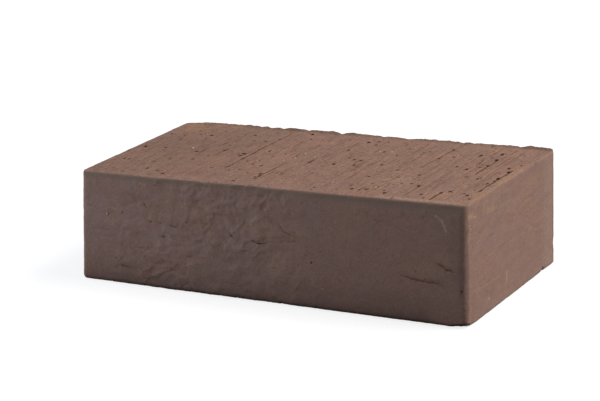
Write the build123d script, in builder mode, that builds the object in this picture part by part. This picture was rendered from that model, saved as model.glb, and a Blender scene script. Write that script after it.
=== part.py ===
from build123d import *
import os

# Solid wire-cut clay brick, nominal format 250 x 120 x 65 mm.
#
# Clay is pushed through a 250 x 120 mm die and sliced by wires every 65 mm. The four upright
# faces carry the smooth die skin, with rounded upright arrises. The two bed faces are the cut
# ones, with tight arrises. Four kinds of hard grain show at the faces. Each kind is a group
# of small crushed lumps, seated in pockets in the clay and cut back just under the faces.
#
# Frame: origin at the centre of the lower bed face, +X along the length, +Y along the width,
# +Z up. Front is -Y, back +Y, left -X and right +X. All sizes in millimetres.

# ---- brick -----------------------------------------------------------------------------
LENGTH = 250.0  # X
WIDTH = 120.0  # Y
HEIGHT = 65.0  # Z, between the two wire cuts
UPRIGHT_RADIUS = 4.0  # die corner radius, on the four upright arrises
BED_RADIUS = 0.8  # softening of the arrises round both bed faces

# ---- grains ----------------------------------------------------------------------------
SETBACK = 0.10  # how far a grain's cut face lies under the brick's face
DEPTH_SHARE = 0.16  # depth of a grain's centre under the face, as a share of its size
CHAMFER_SHARE = 0.22  # broken corners, as a share of a grain's shortest edge

# Turns and thicknesses vary with a grain's number, so that no two neighbours look alike.
TURN_STEPS = (37, 53, 71)  # degrees added about X, Y and Z from one grain to the next
TURN_LIMIT = 90  # each turn wraps round below this
THINNEST_SHARE = 0.72  # least thickness, as a share of size
THICKNESS_STEP = 0.05  # share added from one grain to the next
THICKNESS_COUNT = 4  # thicknesses before the cycle restarts

# Where the grains show: (face, first coordinate, second coordinate, size). The coordinates
# are X, Y on a bed face (top, bottom), X, Z on a stretcher face (front, back) and Y, Z on
# a header face (left, right). A row's place in its table sets the grain's number.
CREAM_GROG = [
    ("top", -87.4, 5.1, 1.7), ("top", -18.5, -5.0, 1.8), ("top", -15.6, 3.0, 1.3),
    ("top", -13.6, 12.1, 1.5), ("top", -7.2, 9.4, 1.1), ("top", -32.7, -11.3, 1.2),
    ("top", -12.9, -22.3, 1.1), ("top", 33.9, 16.4, 1.1),
    ("front", -106.7, 40.6, 1.6), ("front", -53.0, 51.0, 1.0), ("front", 37.0, 12.0, 0.9),
    ("right", -31.8, 7.3, 1.3),
    ("bottom", -96.0, 18.0, 1.6), ("bottom", -41.0, -33.0, 1.3), ("bottom", -8.0, 27.0, 1.9),
    ("bottom", 35.0, -12.0, 1.2), ("bottom", 77.0, 38.0, 1.5), ("bottom", 104.0, -27.0, 1.1),
    ("back", -88.0, 22.0, 1.2), ("back", -17.0, 47.0, 1.4), ("back", 63.0, 31.0, 1.1),
    ("left", -28.0, 44.0, 1.2), ("left", 33.0, 17.0, 1.0),
]
OCHRE_GROG = [
    ("top", -97.5, 38.5, 1.6), ("top", 60.5, -41.2, 2.0), ("top", 76.2, 33.4, 1.5),
    ("top", -7.2, -30.4, 1.3),
    ("front", -54.6, 49.0, 1.1), ("front", 6.0, 20.5, 1.2),
    ("right", -53.8, 52.7, 1.3),
    ("bottom", -70.0, -8.0, 1.7), ("bottom", 12.0, 44.0, 1.4), ("bottom", 55.0, -39.0, 1.8),
    ("back", 28.0, 14.0, 1.6), ("back", -58.0, 52.0, 1.2),
    ("left", 6.0, 29.0, 1.5),
]
QUARTZ = [
    ("top", 27.0, 29.3, 1.2), ("top", 35.0, 30.1, 1.3), ("top", -4.4, 6.6, 0.9),
    ("top", -20.9, 17.5, 0.9), ("top", 96.0, -21.0, 0.9),
    ("front", -76.4, 24.0, 0.9), ("front", -8.5, 43.5, 0.9),
    ("bottom", -112.0, -41.0, 1.1), ("bottom", -24.0, 9.0, 1.0), ("bottom", 66.0, 4.0, 1.2),
    ("back", 95.0, 44.0, 1.0),
    ("left", -12.0, 12.0, 0.9),
]
IRONSTONE = [
    ("top", 16.5, 49.5, 1.3), ("top", -59.2, 30.6, 1.2), ("top", 56.2, -5.7, 1.5),
    ("top", 76.6, -29.0, 1.3), ("top", 108.1, -9.7, 1.2), ("top", 113.4, -38.4, 1.3),
    ("top", -100.0, -53.7, 1.2), ("top", -24.6, -52.9, 1.3), ("top", 41.2, 23.7, 1.1),
    ("front", 29.9, 25.8, 1.0), ("front", -95.9, 42.4, 0.9),
    ("bottom", -83.0, 36.0, 1.5), ("bottom", -54.0, 19.0, 1.2), ("bottom", 22.0, -41.0, 1.6),
    ("bottom", 46.0, 16.0, 1.1), ("bottom", 92.0, 12.0, 1.4),
    ("back", -35.0, 19.0, 1.0), ("back", 45.0, 49.0, 1.3),
    ("left", 41.0, 38.0, 1.2), ("left", -44.0, 21.0, 1.0),
]

# piece name: (table, length as a multiple of size, number of the first grain)
GRAIN_KINDS = {
    "cream_grog_grains": (CREAM_GROG, 1.25, 3),
    "ochre_grog_grains": (OCHRE_GROG, 1.35, 41),
    "quartz_grains": (QUARTZ, 1.05, 83),
    "ironstone_grains": (IRONSTONE, 1.15, 127),
}


def grain_centre(face, first, second, size):
    """Centre of a grain, a little under the face, so that part of it stands clear."""
    depth = DEPTH_SHARE * size
    return {
        "top": (first, second, HEIGHT - depth),
        "bottom": (first, second, depth),
        "front": (first, -WIDTH / 2 + depth, second),
        "back": (first, WIDTH / 2 - depth, second),
        "right": (LENGTH / 2 - depth, first, second),
        "left": (-LENGTH / 2 + depth, first, second),
    }[face]


def crushed_lumps(rows, stretch, first_number):
    """Turned blocks with broken corners, one for each row."""
    with BuildPart() as blocks:
        for number, (face, first, second, size) in enumerate(rows, first_number):
            turn = tuple(step * number % TURN_LIMIT for step in TURN_STEPS)
            thickness = THINNEST_SHARE + THICKNESS_STEP * (number % THICKNESS_COUNT)
            with Locations(Location(grain_centre(face, first, second, size), turn)):
                Box(size * stretch, size, size * thickness)
    lumps = []
    for block in blocks.part.solids():
        reach = CHAMFER_SHARE * min(edge.length for edge in block.edges())
        with BuildPart() as lump:
            add(block)
            chamfer(lump.edges(), length=reach)
        lumps.append(lump.part)
    return lumps


def clay_body(lumps):
    """The fired block, with a pocket for each lump, open at the face."""
    with BuildPart() as clay:
        with BuildSketch(Plane.XY):
            RectangleRounded(LENGTH, WIDTH, UPRIGHT_RADIUS)
        extrude(amount=HEIGHT)
        fillet(clay.faces().filter_by(Axis.Z).edges(), radius=BED_RADIUS)
        for lump in lumps:
            add(lump, mode=Mode.SUBTRACT)
    return clay.part


def trimmed_grains(lumps):
    """The lumps of one kind, cut back to just under the brick's faces."""
    with BuildPart() as grains:
        for lump in lumps:
            add(lump)
        with BuildSketch(Plane.XY.offset(SETBACK)) as outline:
            RectangleRounded(
                LENGTH - 2 * SETBACK, WIDTH - 2 * SETBACK, UPRIGHT_RADIUS - SETBACK
            )
        extrude(outline.sketch, amount=HEIGHT - 2 * SETBACK, mode=Mode.INTERSECT)
    return grains.part


lumps_by_kind = {name: crushed_lumps(*kind) for name, kind in GRAIN_KINDS.items()}
all_lumps = [lump for lumps in lumps_by_kind.values() for lump in lumps]

pieces = {"clay_body": clay_body(all_lumps)}
for name, lumps in lumps_by_kind.items():
    pieces[name] = trimmed_grains(lumps)

os.makedirs("parts", exist_ok=True)
for name, piece in pieces.items():
    piece.label = name
    export_step(piece, f"parts/{name}.step")
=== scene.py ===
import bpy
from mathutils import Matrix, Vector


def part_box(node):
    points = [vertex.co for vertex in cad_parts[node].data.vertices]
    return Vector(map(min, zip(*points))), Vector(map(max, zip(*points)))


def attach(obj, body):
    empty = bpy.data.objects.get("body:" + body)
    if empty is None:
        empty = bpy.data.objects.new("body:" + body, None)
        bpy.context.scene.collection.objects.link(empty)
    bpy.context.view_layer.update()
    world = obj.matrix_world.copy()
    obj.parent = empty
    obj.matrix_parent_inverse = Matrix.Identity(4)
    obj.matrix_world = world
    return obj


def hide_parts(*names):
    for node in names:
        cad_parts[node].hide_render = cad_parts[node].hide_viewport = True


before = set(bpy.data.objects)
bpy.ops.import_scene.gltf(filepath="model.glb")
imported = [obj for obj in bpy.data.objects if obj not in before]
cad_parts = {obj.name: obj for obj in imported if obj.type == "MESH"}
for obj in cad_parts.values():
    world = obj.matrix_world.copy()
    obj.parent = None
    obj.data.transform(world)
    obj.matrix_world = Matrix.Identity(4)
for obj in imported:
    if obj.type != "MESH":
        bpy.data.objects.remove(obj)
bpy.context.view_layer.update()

import math
import bpy
import numpy as np
from mathutils import Matrix

# Solid wire-cut clay brick. Everything below works in millimetres in the CAD frame, and
# each mesh is written out in metres.
lo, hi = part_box("clay_body")
X1 = 1000 * (hi[0] - lo[0]) / 2
Y1 = 1000 * (hi[1] - lo[1]) / 2
H = 1000 * (hi[2] - lo[2])
CELL = 0.60  # surface grid


# ---------------------------------------------------------------- noise and helpers
class Perlin:
    def __init__(self, seed):
        rng = np.random.default_rng(seed)
        p = rng.permutation(256)
        self.p = np.concatenate([p, p, p]).astype(np.int64)
        g = rng.normal(size=(256, 3))
        self.g = g / np.linalg.norm(g, axis=1)[:, None]

    def __call__(self, x, y, z):
        xi, yi, zi = np.floor(x), np.floor(y), np.floor(z)
        xf, yf, zf = x - xi, y - yi, z - zi
        xi, yi, zi = (v.astype(np.int64) & 255 for v in (xi, yi, zi))
        u, v, w = (t * t * t * (t * (t * 6 - 15) + 10) for t in (xf, yf, zf))
        out = 0
        for a in (0, 1):
            for b in (0, 1):
                for c in (0, 1):
                    h = self.p[self.p[self.p[xi + a] + yi + b] + zi + c]
                    g = self.g[h]
                    d = g[:, 0] * (xf - a) + g[:, 1] * (yf - b) + g[:, 2] * (zf - c)
                    wt = (u if a else 1 - u) * (v if b else 1 - v) * (w if c else 1 - w)
                    out = out + wt * d
        return 1.6 * out


def fbm(seed, P, wave, octaves=3, gain=0.5):
    """Layered noise; wave is the coarsest wavelength in mm, one number or one per axis."""
    n = Perlin(seed)
    w = np.broadcast_to(np.asarray(wave, float), (3,)).copy()
    out, amp, total = 0.0, 1.0, 0.0
    for k in range(octaves):
        out = out + amp * n(P[:, 0] / w[0] + 7.3 * k, P[:, 1] / w[1] - 3.1 * k, P[:, 2] / w[2] + 11.7 * k)
        total += amp
        amp *= gain
        w /= 2.03
    return out / total


def sm(t):
    t = np.clip(t, 0.0, 1.0)
    return t * t * (3 - 2 * t)


def near(U, V, u0, u1, v0, v1, pad):
    a, b = min(u0, u1) - pad, max(u0, u1) + pad
    c, d = min(v0, v1) - pad, max(v0, v1) + pad
    return np.nonzero((U > a) & (U < b) & (V > c) & (V < d))[0]


def to_line(U, V, pts):
    """Distance to a polyline, and how far along it (0 to 1)."""
    pts = np.asarray(pts, float)
    seg = np.diff(pts, axis=0)
    ln = np.hypot(seg[:, 0], seg[:, 1])
    acc = np.concatenate([[0], np.cumsum(ln)])
    best = np.full(U.shape, 1e9)
    along = np.zeros(U.shape)
    side = np.zeros(U.shape)
    for k in range(len(seg)):
        du, dv = U - pts[k, 0], V - pts[k, 1]
        t = np.clip((du * seg[k, 0] + dv * seg[k, 1]) / max(ln[k] ** 2, 1e-9), 0, 1)
        d = np.hypot(du - t * seg[k, 0], dv - t * seg[k, 1])
        hit = d < best
        best = np.where(hit, d, best)
        along = np.where(hit, (acc[k] + t * ln[k]) / acc[-1], along)
        s = (seg[k, 0] * dv - seg[k, 1] * du) / max(ln[k], 1e-9)
        side = np.where(hit, s, side)
    return best, along, side


# ---------------------------------------------------------------- closed surface grid
NX, NY, NZ = (int(round(2 * X1 / CELL)), int(round(2 * Y1 / CELL)), int(round(H / CELL)))
gx, gy, gz = np.linspace(-X1, X1, NX + 1), np.linspace(-Y1, Y1, NY + 1), np.linspace(0, H, NZ + 1)
shell = np.zeros((NX + 1, NY + 1, NZ + 1), bool)
shell[0], shell[-1], shell[:, 0], shell[:, -1], shell[:, :, 0], shell[:, :, -1] = (True,) * 6
ids = np.full(shell.shape, -1, np.int64)
ids[shell] = np.arange(shell.sum())
I, J, K = np.nonzero(shell)
B = np.stack([gx[I], gy[J], gz[K]], 1)  # the sharp-edged block, used as the map of every mark


def quads(a, flip):
    q = np.stack([a[:-1, :-1], a[1:, :-1], a[1:, 1:], a[:-1, 1:]], -1).reshape(-1, 4)
    return q[:, ::-1] if flip else q


SIDES = ["top", "bottom", "front", "back", "right", "left"]
Q = [
    quads(ids[:, :, -1], False),
    quads(ids[:, :, 0], True),
    quads(ids[:, 0, :], False),
    quads(ids[:, -1, :], True),
    quads(ids[-1, :, :], False),
    quads(ids[0, :, :], True),
]
side_of = np.concatenate([np.full(len(q), k) for k, q in enumerate(Q)])
Q = np.concatenate(Q)


def vertex_normals(P):
    n = np.cross(P[Q[:, 2]] - P[Q[:, 0]], P[Q[:, 3]] - P[Q[:, 1]])
    out = np.zeros_like(P)
    for c in range(4):
        np.add.at(out, Q[:, c], n)
    return out / np.linalg.norm(out, axis=1)[:, None]


# ---- rounded arrises: first the upright ones in plan, then the ones round the bed faces
P = B.copy()
wob = fbm(11, B, 23.0, 2)
r_up = np.where(B[:, 0] > 0, np.where(B[:, 1] > 0, 1.9, 3.3), 3.0) * (1 + 0.12 * wob)
ax, ay = np.abs(P[:, 0]) - (X1 - r_up), np.abs(P[:, 1]) - (Y1 - r_up)
corner = (ax > 0) & (ay > 0)
m = np.maximum(ax, ay)
l = np.hypot(ax, ay) + 1e-9
nx = np.where(corner, ax * m / l, ax)
ny = np.where(corner, ay * m / l, ay)
P[:, 0] = np.sign(P[:, 0]) * (X1 - r_up + nx)
P[:, 1] = np.sign(P[:, 1]) * (Y1 - r_up + ny)
# distance in from the upright skin, and its outward direction in plan
inset = np.where(corner, r_up - m, np.minimum(X1 - np.abs(P[:, 0]), Y1 - np.abs(P[:, 1])))
out2 = np.zeros((len(P), 2))
use_x = (X1 - np.abs(B[:, 0])) <= (Y1 - np.abs(B[:, 1]))
out2[:, 0] = np.where(corner, np.sign(P[:, 0]) * ax / l, np.where(use_x, np.sign(P[:, 0]), 0))
out2[:, 1] = np.where(corner, np.sign(P[:, 1]) * ay / l, np.where(use_x, 0, np.sign(P[:, 1])))

frontness = sm((-B[:, 1] - Y1 + 12) / 8)
backness = sm((B[:, 1] - Y1 + 12) / 8)
rightness = sm((B[:, 0] - X1 + 12) / 8)
chew = fbm(12, B, (9, 9, 9), 3, 0.6)
r_top = 0.85 + 0.3 * frontness * sm((B[:, 0] + 40) / 150) - 0.25 * backness + 0.15 * rightness + 0.35 * chew
r_bot = 1.5 + 1.1 * frontness + 0.2 * rightness + (0.5 - 0.3 * frontness) * fbm(13, B, 11.0, 3, 0.6)
r_bed = np.clip(np.where(B[:, 2] > H / 2, r_top, r_bot), 0.5, 3.5)
e = np.minimum(H - B[:, 2], B[:, 2])
uu, ww = r_bed - inset, r_bed - e
zone = (uu > 0) & (ww > 0)
m2, l2 = np.maximum(uu, ww), np.hypot(uu, ww) + 1e-9
u2, w2 = np.where(zone, uu * m2 / l2, uu), np.where(zone, ww * m2 / l2, ww)
P[:, 0] += np.where(zone, (u2 - uu) * out2[:, 0], 0)
P[:, 1] += np.where(zone, (u2 - uu) * out2[:, 1], 0)
P[:, 2] += np.where(zone, (w2 - ww) * np.where(B[:, 2] > H / 2, 1, -1), 0)

N = vertex_normals(P)
FACE_N = {"top": (2, 1), "bottom": (2, -1), "front": (1, -1), "back": (1, 1), "right": (0, 1), "left": (0, -1)}
W = {}
for name, (axis, sgn) in FACE_N.items():
    W[name] = np.clip(sgn * N[:, axis], 0, 1) ** 2
AX = {"top": (0, 1), "bottom": (0, 1), "front": (0, 2), "back": (0, 2), "right": (1, 2), "left": (1, 2)}

# the fields that the marks are written to, all per vertex
h = {name: np.zeros(len(P)) for name in SIDES}  # height, mm, one per face
cav = np.zeros(len(P))  # painted shade in hollows, pits, grooves and chips, 0 to 1
ochre = np.zeros(len(P))
pale = np.zeros(len(P))
dark = np.zeros(len(P))
olive = np.zeros(len(P))


def on(name):
    return np.nonzero(W[name] > 0.02)[0]


ON = {name: on(name) for name in SIDES}
UV = {name: (B[ON[name], AX[name][0]], B[ON[name], AX[name][1]]) for name in SIDES}
shade = np.zeros(len(B))
jit = fbm(21, B, 2.6, 2)
jit2 = fbm(22, B, 5.0, 2)


def groove(face, pts, width, depth, lip=0.0, wave=0.0, shade_amount=1.0, ends=0.18, bulge=0.0):
    idx, (U, V) = ON[face], UV[face]
    pts = np.asarray(pts, float)
    sel = near(U, V, pts[:, 0].min(), pts[:, 0].max(), pts[:, 1].min(), pts[:, 1].max(), max(6 * width + 2, 9 if bulge else 0))
    if not len(sel):
        return
    g = idx[sel]
    d, t, s = to_line(U[sel] + wave * jit2[g], V[sel] + wave * jit[g], pts)
    taper = sm(t / ends) * sm((1 - t) / ends)
    rough = 1 + 0.5 * jit[g]
    cut = np.exp(-((d / width) ** 2)) * taper * np.clip(rough, 0.3, 1.6)
    h[face][g] -= depth * cut
    if lip:
        h[face][g] += lip * np.exp(-(((s - 2.0 * width) / (1.4 * width)) ** 2)) * taper * (d < 6 * width)
    if bulge:
        h[face][g] += bulge * np.exp(-(((s - 3.0) / 2.4) ** 2)) * np.exp(-(((d - np.abs(s)) / 2.5) ** 2)) * (0.35 + 0.65 * taper)
    w = W[face][g]
    # painted shade: the groove's hollow darkened along its line
    cav[g] = np.maximum(cav[g], shade_amount * w * cut)
    if face in ("top", "bottom"):
        ochre[g] = np.maximum(ochre[g], 0.5 * shade_amount * w * taper * np.exp(-((d / (2.6 * width)) ** 2)))


def snap(face, u, v):
    """The grid point nearest to a place on a face."""
    steps = {"top": (gx, gy), "bottom": (gx, gy), "front": (gx, gz), "back": (gx, gz), "right": (gy, gz), "left": (gy, gz)}[face]
    return tuple(float(s[np.argmin(np.abs(s - c))]) for s, c in zip(steps, (u, v)))


def pit(face, u, v, a, b, depth, rim=0.08, shade_amount=1.0, turn=0.0, tail=0.0):
    idx, (U, V) = ON[face], UV[face]
    u, v = snap(face, u, v)
    R = 2.2 * max(a, b) + 1
    sel = near(U, V, u, u, v, v, R)
    if not len(sel):
        return
    g = idx[sel]
    c, s = math.cos(turn), math.sin(turn)
    du, dv = U[sel] - u + 0.12 * a * jit2[g], V[sel] - v + 0.12 * a * jit[g]
    p, q = c * du + s * dv, -s * du + c * dv
    r = np.hypot(p / a, q / b)
    bowl = 1 - sm((r - 0.35) / 0.75)
    h[face][g] += -depth * bowl + rim * np.exp(-(((r - 1.35) / 0.35) ** 2))
    # painted shade: the pit darkened over a wider ring than the bowl, as its far wall falls in shadow
    cav[g] = np.maximum(cav[g], shade_amount * W[face][g] * (1 - sm((r - 0.82) / 0.46)))
    if tail:
        groove(face, [(u, v), (u + 0.12 * tail, v - tail)], 0.45 * a, 0.35 * depth, shade_amount=0.5 * shade_amount, ends=0.3)


def blob(field, face, u, v, a, b, amount, turn=0.0, ragged=0.5, hard=0.45):
    idx, (U, V) = ON[face], UV[face]
    sel = near(U, V, u, u, v, v, 2.5 * max(a, b) + 2)
    g = idx[sel]
    c, s = math.cos(turn), math.sin(turn)
    du, dv = U[sel] - u, V[sel] - v
    p, q = c * du + s * dv, -s * du + c * dv
    r = np.hypot(p / a, q / b) + ragged * jit[g] + 0.35 * ragged * jit2[g]
    field[g] = np.maximum(field[g], amount * W[face][g] * (1 - sm((r - hard) / (1.5 - hard))))


def smear(field, face, pts, width, amount, ragged=0.5):
    idx, (U, V) = ON[face], UV[face]
    pts = np.asarray(pts, float)
    sel = near(U, V, pts[:, 0].min(), pts[:, 0].max(), pts[:, 1].min(), pts[:, 1].max(), 3 * width)
    g = idx[sel]
    d, t, _ = to_line(U[sel], V[sel], pts)
    r = d / width + ragged * jit[g] + 0.4 * ragged * jit2[g]
    field[g] = np.maximum(field[g], amount * W[face][g] * (1 - sm((r - 0.3) / 1.0)) * sm(t / 0.1) * sm((1 - t) / 0.1))


# ---------------------------------------------------------------- the marks, face by face
rng = np.random.default_rng(20240)

# -- upper bed face: wire drag lines along Y, torn pits, sandy skin
STRONG = [
    ([(-45.6, 59), (-45.2, 44), (-45.6, 30), (-45.1, 14), (-44.8, -6), (-44.2, -34)], 0.42, 0.55, 0.95),
    ([(102.6, 32), (102.4, 15), (102.5, -3)], 0.42, 0.55, 0.95),
    ([(105.0, 55), (104.4, 42), (103.0, 32)], 0.40, 0.28, 0.60),
    ([(119.9, 14), (119.5, -2), (119.3, -12), (118.9, -32)], 0.45, 0.55, 0.95),
    ([(67.9, 45), (67.2, 24), (66.4, 0)], 0.42, 0.30, 0.75),
    ([(69.2, 60), (68.5, 49)], 0.45, 0.30, 0.70),
    ([(-15.0, -9), (-15.3, -24), (-15.1, -46)], 0.42, 0.40, 0.80),
    ([(100.6, -38), (99.9, -46), (100.1, -55.5)], 0.62, 0.85, 1.0),
    ([(26.3, 9), (26.0, -2), (26.4, -14)], 0.40, 0.20, 0.45),
    ([(83.2, -30), (82.9, -40), (83.1, -52)], 0.40, 0.22, 0.50),
]
FAINT = [
    (5.7, 50, -10, 0.22), (88.7, 32, 8, 0.24), (87.0, 10, -52, 0.20), (80.7, 50, 11, 0.22), (107.3, 45, -5, 0.22),
    (113.0, 11, -33, 0.22), (28.0, -4, -36, 0.20), (36.0, -4, -36, 0.18), (-26.0, -7, -21, 0.24), (-32.0, 40, 0, 0.20),
    (-112.0, 25, -26, 0.20), (11.0, -22, -37, 0.22), (-72.0, 52, 6, 0.13), (-94.0, 8, -40, 0.13), (48.0, 58, 18, 0.14),
    (-58.0, -12, -54, 0.14), (62.0, -10, -52, 0.14), (-5.0, 58, 20, 0.13), (21.0, 58, 34, 0.13), (95.0, 58, 8, 0.15),
    (74.0, 20, -30, 0.15), (92.5, -8, -44, 0.16), (97.0, 20, -16, 0.16), (110.5, 56, 20, 0.14), (55.0, 40, 2, 0.13),
]
for pts, w, d, k in STRONG:
    groove("top", pts, w, d, lip=0.04, wave=0.18, shade_amount=k, ends=0.08)
for x, y0, y1, d in FAINT:
    groove("top", [(x, y0), (x + 0.3, (y0 + y1) / 2), (x - 0.2, y1)], 0.36, d, wave=0.15, shade_amount=0.55, ends=0.2)
DEEP = [
    (100.0, 41.8, 0.95, 2.1), (118.2, -5.5, 0.80, 1.7), (89.3, 36.0, 1.0, 1.9), (119.0, 7.6, 0.70, 1.3), (100.2, -41.0, 0.9, 2.2),
    (70.5, -49.3, 1.25, 1.0), (-49.6, 1.0, 1.3, 1.3), (-118.4, 0.0, 1.0, 1.3), (57.0, -45.8, 1.5, 1.0), (-31.4, 54.1, 0.9, 1.7),
    (-88.9, -43.5, 1.0, 1.3), (-91.8, 35.4, 1.6, 1.1), (104.3, -36.4, 0.8, 1.5), (-17.3, -35.5, 0.85, 1.6), (101.9, 30.2, 0.75, 1.6),
    (13.8, -4.1, 0.95, 1.6), (7.8, 25.9, 0.8, 1.6), (-44.0, -27.0, 0.8, 1.5),
]
SHALLOW = [
    (115.8, 15.1, 2), (25.9, 7.3, 2), (21.1, 7.5, 2), (-65.2, 41.7, 2), (48.6, -47.2, 2), (-15.0, -39.0, 2), (93.6, 6.8, 2),
    (11.2, 46.1, 2), (-80.5, -1.9, 2), (116.8, -41.6, 2), (119.6, -31.0, 2), (67.8, 44.3, 2), (97.3, 33.7, 1), (120.0, 23.0, 1),
    (-73.6, -51.4, 2), (117.5, -16.9, 2), (-15.2, -44.3, 1), (46.6, -22.9, 1), (-64.9, 4.7, 2), (-14.6, 31.1, 1),
    (-25.5, -19.5, 2), (42.1, 1.6, 1), (27.5, -3.7, 1), (16.2, 10.9, 1), (-104.5, 0.9, 1), (-49.4, -2.8, 2), (32.2, 50.8, 1),
    (82.5, -32.0, 2), (-44.9, -8.3, 2), (-122.6, -12.6, 1), (-73.6, -18.2, 2), (30.2, 29.0, 1), (68.3, 23.9, 1), (73.0, -11.5, 1),
    (-118.8, 31.9, 1), (-51.3, 30.7, 1), (116.1, -30.3, 1), (102.2, 17.4, 2), (119.3, -10.5, 1), (-45.5, 38.6, 2),
    (-64.2, 7.7, 1), (91.4, -46.7, 1), (119.6, 2.4, 1), (27.2, -51.5, 1), (99.7, -7.6, 1), (-79.6, -46.7, 1), (-44.6, 4.1, 1),
    (-52.5, 0.2, 1), (-81.5, -46.0, 1), (-115.0, -28.5, 1), (-37.5, 11.5, 1), (-68.0, 17.0, 1),
]
for u, v, a, b in DEEP:
    pit("top", u, v, a, b, rng.uniform(0.55, 0.75), rim=0.05, tail=rng.uniform(0, 3))
for u, v, k in SHALLOW:
    a = (0.62 if k == 1 else 0.74) * rng.uniform(0.95, 1.1)
    pit("top", u, v, a, a * rng.uniform(1.6, 2.2), rng.uniform(0.35, 0.5), rim=0.04, tail=rng.uniform(0, 2.5), shade_amount=0.85 if k == 1 else 1.0)
for _ in range(430):
    u, v = rng.uniform(-X1 + 2, X1 - 2), rng.uniform(-Y1 + 2, Y1 - 2)
    a = rng.uniform(0.42, 0.66)
    pit("top", u, v, a, a * rng.uniform(1.1, 2.2), rng.uniform(0.12, 0.32), rim=0.02, shade_amount=0.25 + 0.65 * rng.random() ** 2.0)
for _ in range(90):
    x = 125 - 250 * rng.random() ** 1.5
    x = min(max(x, -X1 + 4), X1 - 4)
    y0 = rng.uniform(-30, Y1 - 1)
    ln = rng.uniform(12, 70)
    d = rng.uniform(0.05, 0.14)
    groove("top", [(x, y0), (x + rng.normal(0, 0.3), y0 - ln / 2), (x + rng.normal(0, 0.3), max(y0 - ln, -Y1 + 2))], rng.uniform(0.32, 0.42), d, wave=0.12, shade_amount=rng.uniform(0.15, 0.42), ends=0.2)

r = np.random.default_rng(777)
for _ in range(250):
    x, y0, ln = r.uniform(-119, 70), r.uniform(-46, Y1 - 2), r.uniform(4, 20)
    groove("top", [(x, y0), (x + r.normal(0, 0.15), y0 - ln / 2), (x, max(y0 - ln, -Y1 + 2))], r.uniform(0.30, 0.38), r.uniform(0.05, 0.12), wave=0.10, shade_amount=r.uniform(0.22, 0.66), ends=0.25)

# stains, and painted shade over the left part of the top
for u, v, a, b, k in [(-113, 55, 6, 4.5, 1.0), (-106, 49, 7, 4, 0.9), (-98, 58, 7, 3, 1.0), (-116, 46, 4, 4, 0.7), (-102, 44, 5, 3, 0.6), (-85, 58.5, 8, 2, 0.9), (-94, 50, 6, 3, 0.5)]:
    blob(ochre, "top", u, v, a, b, k, turn=0.4, ragged=1.0)
smear(ochre, "top", [(123.4, 22), (123.0, -5), (123.3, -58)], 1.6, 0.6, ragged=1.1)
smear(ochre, "top", [(67.2, 44), (66.9, -4)], 1.5, 0.45, ragged=0.9)
smear(ochre, "top", [(62, 52), (80, 54), (100, 50)], 5.0, 0.38, ragged=1.2)
smear(pale, "top", [(121.6, 18), (121.4, -40)], 0.9, 0.4, ragged=1.0)
smear(pale, "top", [(56.8, -40.6), (64.5, -41.2)], 0.9, 0.85, ragged=0.6)
smear(ochre, "top", [(56.5, -41.0), (65.0, -41.6)], 1.3, 0.6, ragged=0.6)
blob(pale, "top", 66.5, -26, 11, 9, 0.30, ragged=0.9, hard=0.2)
blob(pale, "top", 27.5, 29.3, 1.6, 1.1, 0.9, ragged=0.4)
blob(pale, "top", 35.0, 30.0, 1.3, 0.8, 0.9, ragged=0.4)
blob(pale, "top", -97.5, 38.8, 2.6, 1.2, 0.6, turn=0.5)
for u, v, a in [(-87.4, 5.1, 1.6), (-18.5, -5.0, 1.7), (-13.6, 12.1, 1.3), (-15.6, 3.0, 1.1)]:
    blob(pale, "top", u, v, 1.2 * a, a, 0.55, ragged=0.6)
# painted shade: broad soft patches darken the left part of the top, where less light falls
blob(dark, "top", -60, -45, 30, 10, 0.24, ragged=0.8, hard=0.1)
blob(dark, "top", -92, 0, 44, 46, 0.30, ragged=0.8, hard=0.1)
blob(dark, "top", -104, 52, 15, 9, 0.26, ragged=0.7, hard=0.3)
blob(dark, "top", -112, -46, 20, 18, 0.30, ragged=0.7, hard=0.2)
smear(pale, "top", [(66, -56.5), (92, -57.0), (121, -56.5)], 2.6, 0.42, ragged=0.8)
blob(dark, "top", 16, 49, 3, 2, 0.5)
for _ in range(60):
    u, v = rng.uniform(-X1 + 3, X1 - 3), rng.uniform(-Y1 + 3, Y1 - 3)
    f = ochre if rng.random() < 0.45 else pale
    a = rng.uniform(0.5, 1.3)
    blob(f, "top", u, v, a, a * rng.uniform(0.8, 2.0), rng.uniform(0.2, 0.5), ragged=0.9)

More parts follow.
